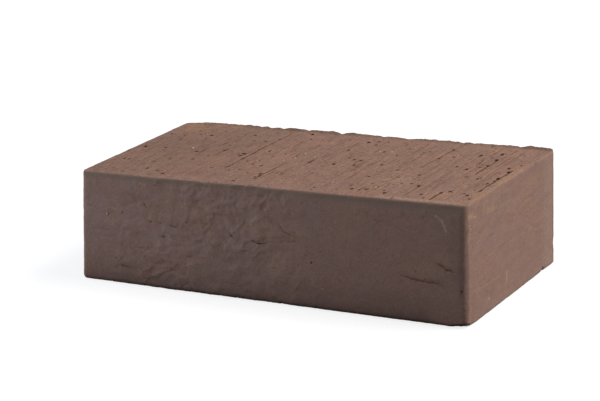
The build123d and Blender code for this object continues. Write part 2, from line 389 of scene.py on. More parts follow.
# -- front stretcher face: die skin with smeared folds
FRONT = [
    ([(-74.8, 61.0), (-71.6, 59.6)], 0.55, 0.40, 0.45), ([(-81.6, 49.9), (-79.5, 47.5), (-78.2, 45.8)], 0.55, 0.50, 0.60),
    ([(-78.4, 39.9), (-76.5, 38.6), (-74.6, 38.8)], 0.50, 0.45, 0.55), ([(-71.2, 38.9), (-68.2, 38.4)], 0.50, 0.40, 0.45),
    ([(-64.0, 38.1), (-61.0, 37.5), (-58.0, 37.0)], 0.50, 0.45, 0.55), ([(-53.2, 40.9), (-50.8, 40.4)], 0.50, 0.45, 0.60),
    ([(-50.0, 40.4), (-41.0, 40.7), (-31.0, 41.0)], 0.40, 0.22, 0.25), ([(-24.2, 38.3), (-22.9, 36.4), (-20.2, 34.4)], 0.55, 0.60, 0.95),
    ([(-20.2, 34.4), (-17.2, 33.7)], 0.50, 0.30, 0.50), ([(-11.2, 35.7), (-8.4, 34.3), (-5.7, 33.2), (-2.0, 33.1), (3.2, 34.2)], 0.52, 0.55, 0.95),
    ([(1.0, 33.8), (8.0, 35.2), (16.0, 36.1), (26.5, 36.8)], 0.42, 0.28, 0.42), ([(9.0, 47.6), (9.7, 44.3), (12.2, 41.6), (15.5, 40.0), (20.0, 38.4)], 0.66, 0.55, 0.58),
    ([(-69.5, 31.2), (-65.8, 30.7)], 0.50, 0.50, 0.60), ([(-65.0, 30.4), (-56.0, 29.6), (-48.0, 29.3)], 0.40, 0.22, 0.20),
    ([(-101.8, 15.8), (-99.2, 14.6), (-98.0, 13.0)], 0.50, 0.45, 0.60), ([(-98.6, 11.9), (-95.9, 10.7), (-92.2, 10.5), (-88.3, 10.2)], 0.50, 0.50, 0.70),
    ([(-36.4, 30.4), (-34.0, 28.6), (-32.2, 26.8)], 0.60, 0.40, 0.40), ([(-5.8, 15.1), (-3.8, 14.8)], 0.50, 0.40, 0.40),
    ([(56.8, 55.2), (60.0, 54.4)], 0.50, 0.36, 0.40), ([(64.0, 54.4), (69.8, 52.6), (78.0, 52.2)], 0.45, 0.30, 0.30),
    ([(84.0, 55.4), (87.0, 55.2)], 0.50, 0.36, 0.30), ([(97.4, 57.9), (101.5, 56.9)], 0.50, 0.38, 0.45),
    ([(79.0, 27.0), (86.2, 24.7), (94.1, 23.3), (101.9, 22.5), (107.0, 22.7), (115.0, 23.6)], 0.72, 0.36, 0.55),
    ([(103.5, 34.6), (108.4, 32.7), (111.8, 31.2), (115.4, 30.0), (121.4, 27.8)], 0.72, 0.36, 0.60),
    ([(-112, 33), (-104, 30), (-96, 31)], 0.5, 0.22, 0.12), ([(-60, 22), (-46, 20), (-34, 21)], 0.6, 0.22, 0.12),
    ([(-98, 24), (-84, 22.5), (-74, 23)], 0.6, 0.22, 0.12), ([(-30, 27), (-18, 25.5), (-10, 27)], 0.5, 0.20, 0.10),
    ([(-120, 30), (-108, 31.5), (-98, 31)], 0.5, 0.20, 0.10), ([(-36, 52), (-26, 49), (-20, 44)], 0.6, 0.30, 0.25),
]
for pts, w, d, k in FRONT:
    k = min(1.0, k * (1.45 if -84 < pts[0][0] < -48 and pts[0][1] > 28 else 0.85 if pts[0][0] < -84 else 1.0))
    groove("front", pts, 0.8 * w, 0.70 * d, lip=0.30 * d, wave=0.75, shade_amount=0.85 * k, ends=0.35, bulge=0.9 * d)
for u, v, a, b, k in [(-46.5, 53.5, 2.2, 3.0, 0.45), (-29.5, 59.0, 3.5, 1.6, 0.35), (-3.0, 60.5, 3.0, 1.8, 0.45), (-42.5, 49.5, 2.5, 2.0, 0.35), (-21.5, 46.0, 4.0, 3.0, 0.30), (-87, 54, 6, 3, 0.25), (-56, 38, 9, 2, 0.25)]:
    blob(dark, "front", u, v, a, b, k, ragged=0.8, hard=0.15)
for u, v, a, b, k in [(23.0, 40.5, 6.0, 3.2, 0.35), (-8.0, 42.0, 8.0, 5.0, 0.25), (-41.0, 50.5, 3.0, 2.0, 0.4), (103.0, 30.0, 16.0, 6.0, 0.22), (-48.0, 15.0, 8.0, 5.0, 0.20), (8.0, 22.0, 6.0, 7.0, 0.30)]:
    blob(ochre, "front", u, v, a, b, k, ragged=0.9, hard=0.15)
for pts, k in [([(-84.9, 60.8), (-80.2, 60.0)], 0.5), ([(-66.1, 32.8), (-62.4, 31.5)], 0.45), ([(-65.4, 30.8), (-61.4, 29.4)], 0.4), ([(-52.8, 28.3), (-49.8, 30.0)], 0.35), ([(-26.9, 26.8), (-26.0, 31.0)], 0.35), ([(-9.0, 44.0), (-6.5, 46.5), (-3.0, 50.0)], 0.35), ([(-92.0, 18.0), (-90.0, 21.0)], 0.3), ([(-86.0, 46.0), (-84.0, 51.0)], 0.25)]:
    smear(pale, "front", pts, 0.7, k, ragged=0.7)
r = np.random.default_rng(909)
for _ in range(46):
    u, v, ln, t = r.uniform(-116, 20), r.uniform(9, 58), r.uniform(3, 10), r.normal(0.15, 0.7)
    pts = [(u + ln * k * math.cos(t + b * k), v + ln * k * math.sin(t + b * k)) for b in (r.uniform(-0.6, 0.6),) for k in (0, 0.35, 0.7, 1.0)]
    if r.random() < 0.55:
        smear(pale, "front", pts, r.uniform(0.5, 1.1), r.uniform(0.10, 0.26), ragged=0.9)
    else:
        smear(dark, "front", pts, r.uniform(0.6, 1.4), r.uniform(0.12, 0.30), ragged=0.9)
for u, v, a, d, k in [(-118.5, 44.8, 0.8, 0.35, 0.4), (60.0, 4.0, 0.7, 0.3, 0.3), (122.3, 20.0, 0.8, 0.4, 0.7)]:
    pit("front", u, v, a, 0.75 * a, d, shade_amount=k)
# painted highlight along a ridge near the upper right of the front
smear(pale, "front", [(105.6, 58.9), (109.0, 57.1), (110.8, 55.1), (111.9, 52.8), (113.2, 49.4)], 0.64, 1.0, ragged=0.3)
blob(ochre, "front", 123.2, 20.6, 0.8, 0.9, 0.6)
# painted shade in the two folds near the right end
for u, v, a, b, k in [(109.5, 32.4, 2.4, 1.1, 0.55), (114.0, 30.8, 2.6, 1.2, 0.5), (96.0, 23.2, 3.0, 0.9, 0.35), (106.0, 22.8, 4.0, 1.0, 0.45)]:
    blob(dark, "front", u, v, a, b, k, turn=-0.2, ragged=1.0, hard=0.1)
blob(ochre, "front", -54.0, 49.5, 1.6, 1.0, 0.6)
# painted shade: a dark band along the foot of the front face, where it rolls under towards the floor
smear(dark, "front", [(-124, 0.7), (0, 0.7), (123, 0.9)], 2.0, 0.90, ragged=0.3)
# painted shade: the foot of the face darkens softly, more so towards the right, as next to the floor
idx, (U, V) = ON["front"], UV["front"]
foot = (0.36 + 0.20 * sm((U + 60) / 120) - 0.46 * sm((U - 98) / 14)) * (1 - sm(V / (9.0 + 2.0 * jit2[idx]))) ** 1.3
dark[idx] = np.maximum(dark[idx], W["front"][idx] * foot)
calm = 1 - 0.85 * sm((U - 96) / 16)
shade[idx] = W["front"][idx] * calm * (
    (0.38 - 0.10 * sm((U + 60) / 120)) * (1 - sm(V / (9.0 + 1.5 * jit2[idx])))
    + 0.13 * sm((V - 3) / 5) * (1 - sm((V - 8) / 12))
    + (0.24 + 0.20 * sm((U - 40) / 40)) * (1 - sm(V / 2.4))
)
# painted shade just below the upper arris
shade[idx] += W["front"][idx] * 0.13 * np.exp(-(((H - 1.5 - V) / 1.8) ** 2))
for _ in range(120):
    u, v = rng.uniform(-X1 + 3, X1 - 3), rng.uniform(2, H - 2)
    a = rng.uniform(0.3, 0.6)
    pit("front", u, v, a * 1.3, a, rng.uniform(0.08, 0.22), rim=0.02, shade_amount=0.5 * rng.random() ** 3)
# the rolled skin under the upper arris, wider towards the right end
idx, (U, V) = ON["front"], UV["front"]
band = 1.8 + 2.6 * sm((U + 90) / 200) + 0.8 * jit2[idx]
olive[idx] = np.maximum(olive[idx], W["front"][idx] * (1 - sm((H - 0.6 - V - band) / 0.9)))

# painted shade: a dark band down the front face where it turns into the rounded right arris
smear(dark, "front", [(122.0, 13), (121.8, 36), (122.1, 63)], 2.1, 0.52, ragged=0.35)
smear(dark, "front", [(119.5, 24), (119.3, 40), (119.6, 60)], 5.0, 0.20, ragged=0.3)
blob(ochre, "front", 113.0, 11.0, 13.0, 9.0, 0.20, ragged=0.5, hard=0.1)

# -- right header face
RIGHT = [
    ([(-8, 42), (1, 44), (10, 46.4), (20, 48), (28, 47.6), (36, 46.5)], 0.75, 0.42), ([(-30, 29), (-17, 30.6), (-4, 31), (11, 30.5)], 0.75, 0.42),
    ([(23, 29), (32, 28.2), (40, 28), (47, 29.8), (52, 32)], 0.70, 0.40), ([(-37, 41.5), (-27, 40.4), (-17, 40)], 0.65, 0.34),
    ([(-54, 15), (-42, 16.4), (-31, 17), (-18, 16.9), (-8, 16.5)], 0.60, 0.24), ([(-52, 43), (-44, 47), (-36, 52)], 0.60, 0.26),
    ([(-46, 36), (-36, 42), (-26, 48)], 0.60, 0.24), ([(-54, 31), (-46, 36), (-40, 38)], 0.55, 0.24), ([(-20, 44), (-8, 50), (4, 53)], 0.60, 0.24),
    ([(0, 22), (14, 23.5), (26, 22)], 0.60, 0.22), ([(-48, 24), (-34, 25.5), (-22, 24)], 0.55, 0.20), ([(30, 14), (42, 13), (52, 15)], 0.60, 0.20),
    ([(8, 38), (18, 40), (28, 38.5)], 0.60, 0.26), ([(36, 38), (45, 40), (53, 44)], 0.60, 0.24), ([(12, 6), (24, 7), (34, 5.5)], 0.60, 0.18),
]
for pts in [
    [(-55.3, 28.9), (-41.9, 30.3), (-27.2, 31.8), (-13.7, 31.3), (6.0, 30.7)], [(-54.0, 18.1), (-40.7, 16.8), (-30.6, 16.8), (-17.3, 15.9)],
    [(0.6, 45.1), (9.9, 46.9), (19.1, 48.1)], [(20.2, 29.9), (31.0, 29.7), (43.1, 28.9), (54.1, 31.2)],
    [(-57.0, 34.3), (-50.6, 35.7), (-40.7, 34.9), (-28.8, 37.0)], [(-56.4, 46.3), (-50.5, 46.0), (-40.6, 45.9), (-33.7, 47.5)],
    [(-57.0, 51.4), (-48.6, 53.0), (-43.7, 56.5)],
]:
    groove("right", pts, 0.42, 0.10, lip=0.04, wave=0.5, shade_amount=0.13, ends=0.3)
    smear(ochre, "right", pts, 0.9, 0.40, ragged=1.0)
for pts, w, d in RIGHT:
    groove("right", pts, 1.1 * w, 0.26 * d, lip=0.12 * d, wave=0.5, shade_amount=0.20 if d > 0.3 else 0.07, ends=0.4, bulge=0.2 * d)
for u, v, a, b, d, k in [(42.0, 2.0, 1.6, 1.2, 0.8, 0.45), (37.0, 0.8, 1.3, 1.0, 0.7, 0.35)]:
    pit("right", u, v, a, b, d, shade_amount=k)
blob(dark, "right", 32.5, 64.0, 1.6, 1.0, 0.8, turn=-0.7, ragged=0.5)
for u, v, a, b, k in [(23, 0.9, 2.2, 0.7, 0.6), (33, 0.9, 4.0, 0.9, 0.75), (45, 0.8, 3.0, 0.8, 0.75), (53.5, 0.9, 2.6, 0.8, 0.6), (1, 0.6, 1.2, 0.5, 0.5)]:
    blob(dark, "right", u, v, a, b, k, ragged=1.1, hard=0.2)
for u, v, a, b, k in [(-56.2, 58.2, 0.9, 0.8, 0.75), (-53.5, 57.2, 1.3, 0.8, 0.70), (-49.8, 56.7, 1.6, 0.6, 0.45), (-54.5, 52.4, 0.7, 0.7, 0.75), (-57.6, 47.0, 0.6, 2.2, 0.55)]:
    blob(pale, "right", u, v, a, b, k, ragged=0.9)
    blob(ochre, "right", u, v, 1.8 * a, 1.6 * b, 0.8, ragged=0.9)
smear(pale, "right", [(-8.4, 16.2), (-8.3, 9.4)], 0.8, 0.45, ragged=0.2)
smear(ochre, "right", [(-8.4, 16.2), (-8.3, 9.4)], 0.95, 1.0, ragged=0.2)
for u, v, a, b, k, t in [(-36, 61, 5, 2.2, 0.5, 0.2), (-25, 59.5, 4, 2.5, 0.5, 0.3), (-47, 62, 5, 1.6, 0.5, 0.0), (-15, 61.5, 6, 2.0, 0.45, 0.2), (4, 60.0, 7, 2.0, 0.35, 0.2), (14, 57.0, 5, 2.0, 0.35, 0.0)]:
    blob(ochre, "right", u, v, a, b, k, turn=t, ragged=1.0, hard=0.2)
for u, v, a, b, k, t in [
    (-54.0, 58.2, 5.0, 1.9, 0.95, 0.0), (-6.0, 59.0, 2.0, 1.2, 0.5, 0.0), (-55.5, 49.0, 1.4, 3.0, 0.5, 0.2),
    (-49.0, 45.5, 3.0, 1.5, 0.4, 0.5), (-53.0, 31.5, 2.0, 1.5, 0.4, 0.0), (46.0, 46.5, 3.0, 1.4, 0.4, 0.0), (-56.5, 6.0, 1.6, 4.0, 0.4, 0.0),
]:
    blob(ochre, "right", u, v, a, b, k, turn=t, ragged=0.7)
smear(ochre, "right", [(-41, 57), (-32, 55.8), (-20, 54.6)], 1.9, 0.75, ragged=0.9)
smear(ochre, "right", [(19, 56.4), (28, 55.8), (36, 56)], 1.8, 0.5, ragged=0.9)
smear(ochre, "right", [(-57.5, 64), (-30, 63.8), (10, 64)], 1.3, 0.45, ragged=1.2)
blob(pale, "right", -32.0, 7.5, 1.6, 1.2, 0.5)
blob(pale, "right", -55.5, 1.5, 3.0, 2.0, 0.6)
smear(dark, "right", [(58.2, 3), (58.0, 62)], 1.6, 0.5, ragged=0.7)
# painted shade on the rounded arris towards the front face
smear(dark, "right", [(-58.6, 3), (-58.2, 30), (-58.7, 62)], 1.5, 0.45, ragged=1.0)
for _ in range(50):
    u, v = rng.uniform(-Y1 + 3, Y1 - 3), rng.uniform(2, H - 2)
    a = rng.uniform(0.3, 0.6)
    pit("right", u, v, a * 1.3, a, rng.uniform(0.04, 0.14), rim=0.02, shade_amount=0.28 * rng.random() ** 3)


# -- the three faces turned away: the same kinds of marks, laid out afresh
def die_marks(face, half, seed, folds):
    r = np.random.default_rng(seed)
    for _ in range(folds):
        u, v = r.uniform(-half + 12, half - 12), r.uniform(8, H - 8)
        ln, lean, bow = r.uniform(4, 26), r.normal(0, 0.18), r.normal(0, 1.2)
        pts = [(u + ln * (t - 0.5), v + lean * ln * (t - 0.5) + bow * math.sin(math.pi * t)) for t in (0, 0.25, 0.5, 0.75, 1)]
        d = r.uniform(0.18, 0.5)
        groove(face, pts, r.uniform(0.5, 0.75), 0.8 * d, lip=0.35 * d, wave=0.55, shade_amount=0.72 * d, ends=0.3, bulge=0.5 * d)
    for _ in range(int(0.45 * half * 2)):
        u, v, a = r.uniform(-half + 3, half - 3), r.uniform(2, H - 2), r.uniform(0.3, 0.65)
        pit(face, u, v, a * 1.3, a, r.uniform(0.08, 0.3), rim=0.02, shade_amount=0.8 * r.random() ** 2.5)
    for _ in range(int(0.08 * half * 2)):
        u, v, a = r.uniform(-half + 6, half - 6), r.uniform(4, H - 4), r.uniform(1.0, 4.0)
        blob(ochre, face, u, v, a * 1.5, a * 0.5, r.uniform(0.3, 0.8), turn=r.normal(0, 0.3), ragged=0.8)


die_marks("back", X1, 501, 24)
die_marks("left", Y1, 502, 14)
r = np.random.default_rng(503)
for _ in range(26):
    x, y0 = r.uniform(-X1 + 5, X1 - 5), r.uniform(-20, Y1)
    ln = r.uniform(12, 75)
    d = r.uniform(0.14, 0.55)
    groove("bottom", [(x, y0), (x + r.normal(0, 0.5), y0 - ln / 2), (x + r.normal(0, 0.5), y0 - ln)], r.uniform(0.4, 0.6), d, wave=0.4, shade_amount=min(1, 1.7 * d), ends=0.15)
for _ in range(80):
    a = r.uniform(0.5, 1.0)
    pit("bottom", r.uniform(-X1 + 4, X1 - 4), r.uniform(-Y1 + 4, Y1 - 4), a, a * r.uniform(1.2, 2), 0.6 * a, tail=r.uniform(0, 4))
for _ in range(380):
    a = r.uniform(0.35, 0.6)
    pit("bottom", r.uniform(-X1 + 2, X1 - 2), r.uniform(-Y1 + 2, Y1 - 2), a, a * r.uniform(1, 2.2), r.uniform(0.12, 0.38), rim=0.03, shade_amount=r.uniform(0.3, 0.7))
for _ in range(40):
    f = ochre if r.random() < 0.55 else pale
    a = r.uniform(0.6, 3.0)
    blob(f, "bottom", r.uniform(-X1 + 6, X1 - 6), r.uniform(-Y1 + 6, Y1 - 6), a, a * r.uniform(0.6, 1.6), r.uniform(0.25, 0.6), ragged=0.9)

# ---------------------------------------------------------------- skin relief
for k, face in enumerate(("top", "bottom")):
    g = ON[face]
    p = B[g] + (0, 0, 40 * k)
    h[face][g] += (
        0.26 * fbm(31 + k, p, (60, 80, 60), 2)
        + 0.11 * fbm(33 + k, p, (3.0, 30, 30), 3, 0.6)
        + 0.10 * fbm(35 + k, p, (9.0, 60, 60), 2)
        + 0.13 * fbm(37 + k, p, (3.6, 4.6, 4.6), 3, 0.75)
    )
    grit = fbm(39 + k, p, (2.0, 2.6, 2.6), 2, 0.7)
    h[face][g] += 0.10 * np.clip(grit, -1, 1) - 0.16 * np.clip(-grit - 0.28, 0, 1)
for k, face in enumerate(("front", "back", "right", "left")):
    g = ON[face]
    p = B[g] + (0, 0, 90 * k)
    long_axis = (0, 0) if face in ("front", "back") else (1, 0)
    warp = fbm(50 + k, p, 26, 2)
    warp2 = fbm(60 + k, p, 14, 2)
    p2 = p + 6.0 * warp[:, None] * np.array([0.7, 0.7, 1.0]) + 3.5 * warp2[:, None] * np.array([1.0, 1.0, -0.8])
    swirl = fbm(70 + k, p2, (24, 24, 11), 3, 0.5)
    cell = fbm(110 + k, p2, (9.5, 9.5, 7.0), 2, 0.5)
    lumps = np.abs(fbm(80 + k, p2, (13, 13, 9), 2, 0.45))
    if face == "front":
        weight = 0.20 + 1.25 * sm((40 - p[:, 0]) / 34) * sm((p[:, 0] + 116) / 26)
    elif face == "right":
        weight = 0.24
    else:
        weight = 0.72
    patch = sm(0.5 + 1.7 * fbm(115 + k, p, 38, 2))
    crest = np.clip(1 - 2.3 * np.abs(fbm(118 + k, p2, (17, 17, 13), 3, 0.6)), 0, 1) ** 4
    h[face][g] += weight * (0.36 * swirl + 0.36 * cell - 0.38 * np.clip(0.22 - lumps, 0, 1) * (1 + swirl) + 0.34 * patch * crest)
    h[face][g] += 0.24 * fbm(90 + k, p, 55, 2) + (0.115 if face == "front" else 0.07) * fbm(95 + k, p, 2.4, 3, 0.75)
# long strokes dragged along the right header, leaning upwards towards its near upper corner
g = ON["right"]
p = B[g]
upper = sm((18 - p[:, 1]) / 45) * sm((p[:, 2] - 20) / 26)
lean = p[:, 2] - 0.10 * p[:, 1] - 0.28 * upper * (p[:, 1] + Y1)
q = np.stack([np.zeros(len(g)), p[:, 1], lean], 1)
stroke = fbm(101, q, (1, 46, 5.2), 3, 0.6)
h["right"][g] += 0.25 * stroke * (0.35 + 0.65 * upper + 0.25 * sm((40 - p[:, 2]) / 30))
tinge = fbm(102, q, (1, 34, 7.0), 3, 0.6)
dim = fbm(103, q, (1, 30, 3.6), 3, 0.65)
dark[g] = np.maximum(dark[g], W["right"][g] * np.clip(0.34 * (dim + 0.22), 0, 0.24) * (0.30 + 0.70 * sm((p[:, 2] - 22) / 22)))
dark[g] = np.maximum(dark[g], 0.13 * W["right"][g] * sm((p[:, 2] - 50) / 8))
pale[g] = np.maximum(pale[g], W["right"][g] * (0.24 * sm((p[:, 1] - 38) / 12) + 0.10 * (1 - sm(p[:, 2] / 12))))
ochre[g] = np.maximum(ochre[g], W["right"][g] * np.clip(0.85 * (tinge + 0.08), 0, 0.46) * (0.25 + 0.75 * sm((p[:, 2] - 30) / 20)))

# ---------------------------------------------------------------- seats round the grains
def islands(name):
    """Centre and half-size of every separate grain in a CAD node, in mm."""
    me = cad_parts[name].data
    v = np.empty(3 * len(me.vertices))
    me.vertices.foreach_get("co", v)
    v = v.reshape(-1, 3) * 1000
    root = np.arange(len(v))
    e = np.empty(2 * len(me.edges), np.int64)
    me.edges.foreach_get("vertices", e)
    e = e.reshape(-1, 2)
    # vertices at the same place belong together even if the mesh is split there
    _, same = np.unique(np.round(v, 4), axis=0, return_inverse=True)
    same = same.reshape(-1)
    lab = np.arange(same.max() + 1)
    ea, eb = same[e[:, 0]], same[e[:, 1]]
    for _ in range(200):
        new = lab.copy()
        np.minimum.at(new, ea, lab[eb])
        np.minimum.at(new, eb, lab[ea])
        new = new[new]
        if (new == lab).all():
            break
        lab = new
    lab = lab[same]
    out = []
    for k in np.unique(lab):
        q = v[lab == k]
        out.append(((q.min(0) + q.max(0)) / 2, (q.max(0) - q.min(0)) / 2))
    return out


GRAINS = ["cream_grog_grains", "ochre_grog_grains", "quartz_grains", "ironstone_grains"]
grain_list = {name: islands(name) for name in GRAINS}


def face_of(c):
    gap = {
        "top": H - c[2], "bottom": c[2], "front": c[1] + Y1, "back": Y1 - c[1], "right": X1 - c[0], "left": c[0] + X1,
    }
    return min(gap, key=gap.get)


for name in GRAINS:
    for c, half in grain_list[name]:
        f = face_of(c)
        a0, a1 = AX[f]
        idx, (U, V) = ON[f], UV[f]
        sel = near(U, V, c[a0], c[a0], c[a1], c[a1], 4)
        g = idx[sel]
        s = max(half[a0], half[a1])
        r = np.hypot(U[sel] - c[a0], V[sel] - c[a1]) / s
        h[f][g] += -(0.30 if f in ("top", "bottom") else 0.16) * (1 - sm((r - 0.5) / 0.9)) + 0.05 * np.exp(-(((r - 1.6) / 0.4) ** 2))
        # painted shade in the narrow gap round each grain
        cav[g] = np.maximum(cav[g], (0.6 if f in ("top", "bottom") else 0.15) * W[f][g] * np.exp(-(((r - 1.12) / 0.32) ** 2)))

# ---------------------------------------------------------------- put the relief on
total = sum(W[name] for name in SIDES)
hh = sum(W[name] * h[name] for name in SIDES) / total
P = P + N * hh[:, None]

# torn burr that the wire leaves along the far upper arris
x = B[:, 0]
line = np.stack([x, np.zeros_like(x), np.zeros_like(x)], 1)
crumb = fbm(120, line, 9.0, 3, 0.75)
fine = fbm(121, line + (0, 5, 0), 2.4, 2, 0.7)
torn = 0.25 + 1.1 * sm(0.5 + 1.6 * fbm(123, line + (11, 0, 0), 48.0, 2))
lip = 0.86 + 0.38 * sm((30 - x) / 60) + torn * (0.36 * crumb + 0.34 * fine)
for c, w, d in [(-63, 1.8, 0.5), (-55, 1.6, 0.5), (-37, 1.8, 0.5), (-14, 2.4, 0.95), (14, 1.8, 0.5), (31, 4.5, 0.55), (67, 1.8, 0.5), (74, 1.6, 0.45), (104, 2.0, 0.5)]:
    lip -= d * np.exp(-(((x - c) / w) ** 2))
for c, w, d in [(-80, 2.2, 0.35), (-67, 1.6, 0.35), (-48, 2.0, 0.35), (-21, 2.0, 0.35), (-6, 2.2, 0.4), (57, 3.0, 0.35), (110, 2.2, 0.35)]:
    lip += d * np.exp(-(((x - c) / w) ** 2))
lip += 0.30 * sm((x - 103) / 6) + 0.25 * np.exp(-(((x + 47) / 4.5) ** 2))
lip *= sm((x + 126) / 20) * sm((127.0 - x) / 2)
lip = np.clip(lip, -0.2, 1.6)
span = 1.25 + 0.5 * fbm(122, line + (3, 0, 0), 6.0, 2)
din, dz = Y1 - B[:, 1], H - B[:, 2]
reach = np.exp(-((din / span) ** 2)) * np.exp(-((dz / 1.0) ** 2))
P[:, 2] += lip * reach
P[:, 1] += 0.35 * np.clip(lip, 0, 2) * reach
# painted shade on the near side of the far burr, patchy along its length and wider in places
burr_shade = 0.45 + 0.35 * sm((x - 103) / 5)
for c, w, k in [(-77, 5, 0.25), (-64.5, 2, 0.2), (-58, 2.2, 0.3), (-47, 5.5, 0.55), (-30, 3, 0.3), (-17, 3, 0.5), (-7, 3.5, 0.5), (10, 3, 0.35), (43, 3, 0.2), (52, 2.5, 0.25), (63, 3, 0.25), (71, 2.5, 0.35), (86, 2, 0.25), (101, 2, 0.2)]:
    burr_shade = burr_shade + k * np.exp(-(((x - c) / w) ** 2))
broad = 1.9 + 1.6 * sm((x - 103) / 5) + 1.6 * np.exp(-(((x + 47) / 6) ** 2)) + 1.0 * np.exp(-(((x + 17) / 4) ** 2)) + 0.7 * np.exp(-(((x + 6) / 4) ** 2))
dark = np.maximum(dark, np.clip(burr_shade, 0, 1) * np.exp(-((din / broad) ** 2)) * np.exp(-((dz / 1.6) ** 2)) * sm(lip / 0.5))
# painted shade along the near lower arris
reach2 = np.exp(-(((Y1 + B[:, 1]) / 1.4) ** 2)) * np.exp(-((B[:, 2] / 1.4) ** 2))
dark = np.maximum(dark, 0.35 * reach2)

# knocks: (x, y, z) of the middle, radii, depth, and the way the material went
KNOCKS = [
    ((125, -60, 0), (11, 6, 3.4), 1.1, (-0.35, 0.3, 0.9)),
    ((125, 60, 65), (3, 3, 2.4), 0.4, (-0.6, -0.5, -0.6)),
    ((125, 42, 0), (3, 3.4, 2.4), 0.7, (-0.7, 0, 0.7)),
    ((125, 16, 65), (2.5, 3, 2), 0.5, (-0.6, 0, -0.8)),
    ((-125, 60, 0), (7, 5, 5), 1.6, (0.6, -0.5, 0.6)),
    ((-125, 8, 0), (3, 4, 3), 0.9, (0.7, 0, 0.7)),
    ((40, 60, 0), (6, 3, 3), 0.9, (0, -0.7, 0.7)),
    ((-70, 60, 0), (3.5, 2.5, 2.5), 0.8, (0, -0.7, 0.7)),
    ((-40, -60, 65), (3.0, 1.6, 1.4), 0.35, (0, 0.6, -0.8)),
    ((-125, -20, 65), (2.2, 4, 2), 0.15, (0.7, 0, -0.7)),
    ((-125, 60, 33), (2.4, 2.4, 4), 0.7, (0.7, -0.7, 0)),
    ((125, 60, 12), (2.4, 2.4, 4), 0.7, (-0.7, -0.7, 0)),
]
rough3 = fbm(130, B, 3.2, 3, 0.7)
for c, rad, d, way in KNOCKS:
    c = np.array([c[0] * X1 / 125, c[1] * Y1 / 60, c[2] * H / 65])
    r = np.linalg.norm((B - c) / np.array(rad), axis=1) + 0.22 * rough3
    k = 1 - sm((r - 0.25) / 0.85)
    way = np.array(way) / np.linalg.norm(way)
    P += (d * k * (1 + 0.25 * rough3))[:, None] * way
    # painted shade: a little darkening in each chip
    cav = np.maximum(cav, 0.14 * k)

# the block's own slight twist: how far each corner stands from true
CORNERS = {
    (0, 0, 0): (-0.50, -0.05, 0.0), (1, 0, 0): (-1.10, -1.38, 0.0), (0, 1, 0): (-0.01, 0.0, 0.0), (1, 1, 0): (-0.31, -1.10, 0.0),
    (0, 0, 1): (1.75, 0.92, -1.16), (1, 0, 1): (0.30, 0.50, 1.14), (0, 1, 1): (-1.17, -1.05, -1.04), (1, 1, 1): (1.20, 0.99, 1.22),
}
TWIST = 1.0
tx, ty, tz = (B[:, 0] + X1) / (2 * X1), (B[:, 1] + Y1) / (2 * Y1), B[:, 2] / H
for (a, b, c), off in CORNERS.items():
    w = (tx if a else 1 - tx) * (ty if b else 1 - ty) * (tz if c else 1 - tz)
    P += TWIST * w[:, None] * np.array(off)
P[:, 2] -= P[:, 2].min()

# ---------------------------------------------------------------- the mesh
def new_object(name, verts_mm, faces):
    me = bpy.data.meshes.new(name)
    me.from_pydata((verts_mm / 1000).tolist(), [], faces)
    ob = bpy.data.objects.new(name, me)
    bpy.context.scene.collection.objects.link(ob)
    return ob


me = bpy.data.meshes.new("brick_block")
me.vertices.add(len(P))
me.vertices.foreach_set("co", (P / 1000).astype(np.float32).ravel())
me.loops.add(4 * len(Q))
me.loops.foreach_set("vertex_index", Q.astype(np.int32).ravel())
me.polygons.add(len(Q))
me.polygons.foreach_set("loop_start", np.arange(0, 4 * len(Q), 4, dtype=np.int32))
me.update(calc_edges=True)
me.validate()
# painted highlight down the near left upright arris, and painted shade along the upper arris of the left end
pale = np.maximum(pale, np.clip(0.66 + 0.35 * jit, 0, 0.9) * np.exp(-(((B[:, 0] + X1) / 2.4) ** 2)) * np.exp(-(((B[:, 1] + Y1) / 3.0) ** 2)) * sm((H - 1.5 - B[:, 2]) / 1.5))
dark = np.maximum(dark, (0.50 + 0.25 * jit2) * np.exp(-(((B[:, 0] + X1) / 1.3) ** 2)) * np.exp(-(((H - B[:, 2]) / 1.6) ** 2)) * sm((B[:, 1] + Y1 - 2) / 4))
cut = np.clip(W["top"] + W["bottom"], 0, 1)
skin = np.clip(W["front"] * (0.35 + 0.65 * sm((50 - B[:, 0]) / 60)) + 0.9 * W["back"] + 0.9 * W["left"] + W["right"] * (0.50 + 0.45 * sm((10 - B[:, 1]) / 40) * sm((B[:, 2] - 26) / 16)), 0, 1)
for name, arr in (("cav", cav), ("ochre", ochre), ("pale", pale), ("dark", dark), ("olive", olive), ("cut", cut), ("skin", skin), ("shade", shade)):
    at = me.attributes.new(name, "FLOAT", "POINT")
    at.data.foreach_set("value", np.clip(arr, 0, 1).astype(np.float32))
# one flat chart per face, side by side
PLACE = {"top": (2, 2, 0), "bottom": (2, 124, 0), "front": (2, 246, 0), "back": (2, 313, 0), "right": (254, 2, 1), "left": (254, 124, 1)}
SHEET = 382.0
uv = np.zeros((4 * len(Q), 2))
flat = Q.ravel()
side_l = np.repeat(side_of, 4)
for k, name in enumerate(SIDES):
    sel = side_l == k
    a0, a1 = AX[name]
    b = B[flat[sel]]
    u = b[:, a0] + (X1 if a0 == 0 else Y1)
    v = b[:, a1] + (Y1 if a1 == 1 else 0)
    px, py, turn = PLACE[name]
    uv[sel] = np.stack([px + (v if turn else u), py + (u if turn else v)], 1) / SHEET
lay = me.uv_layers.new(name="OFBake")
lay.data.foreach_set("uv", uv.astype(np.float32).ravel())
brick = bpy.data.objects.new("brick_block", me)
bpy.context.scene.collection.objects.link(brick)
me.polygons.foreach_set("use_smooth", np.ones(len(me.polygons), bool))


# ---------------------------------------------------------------- the grains
ico_v = None


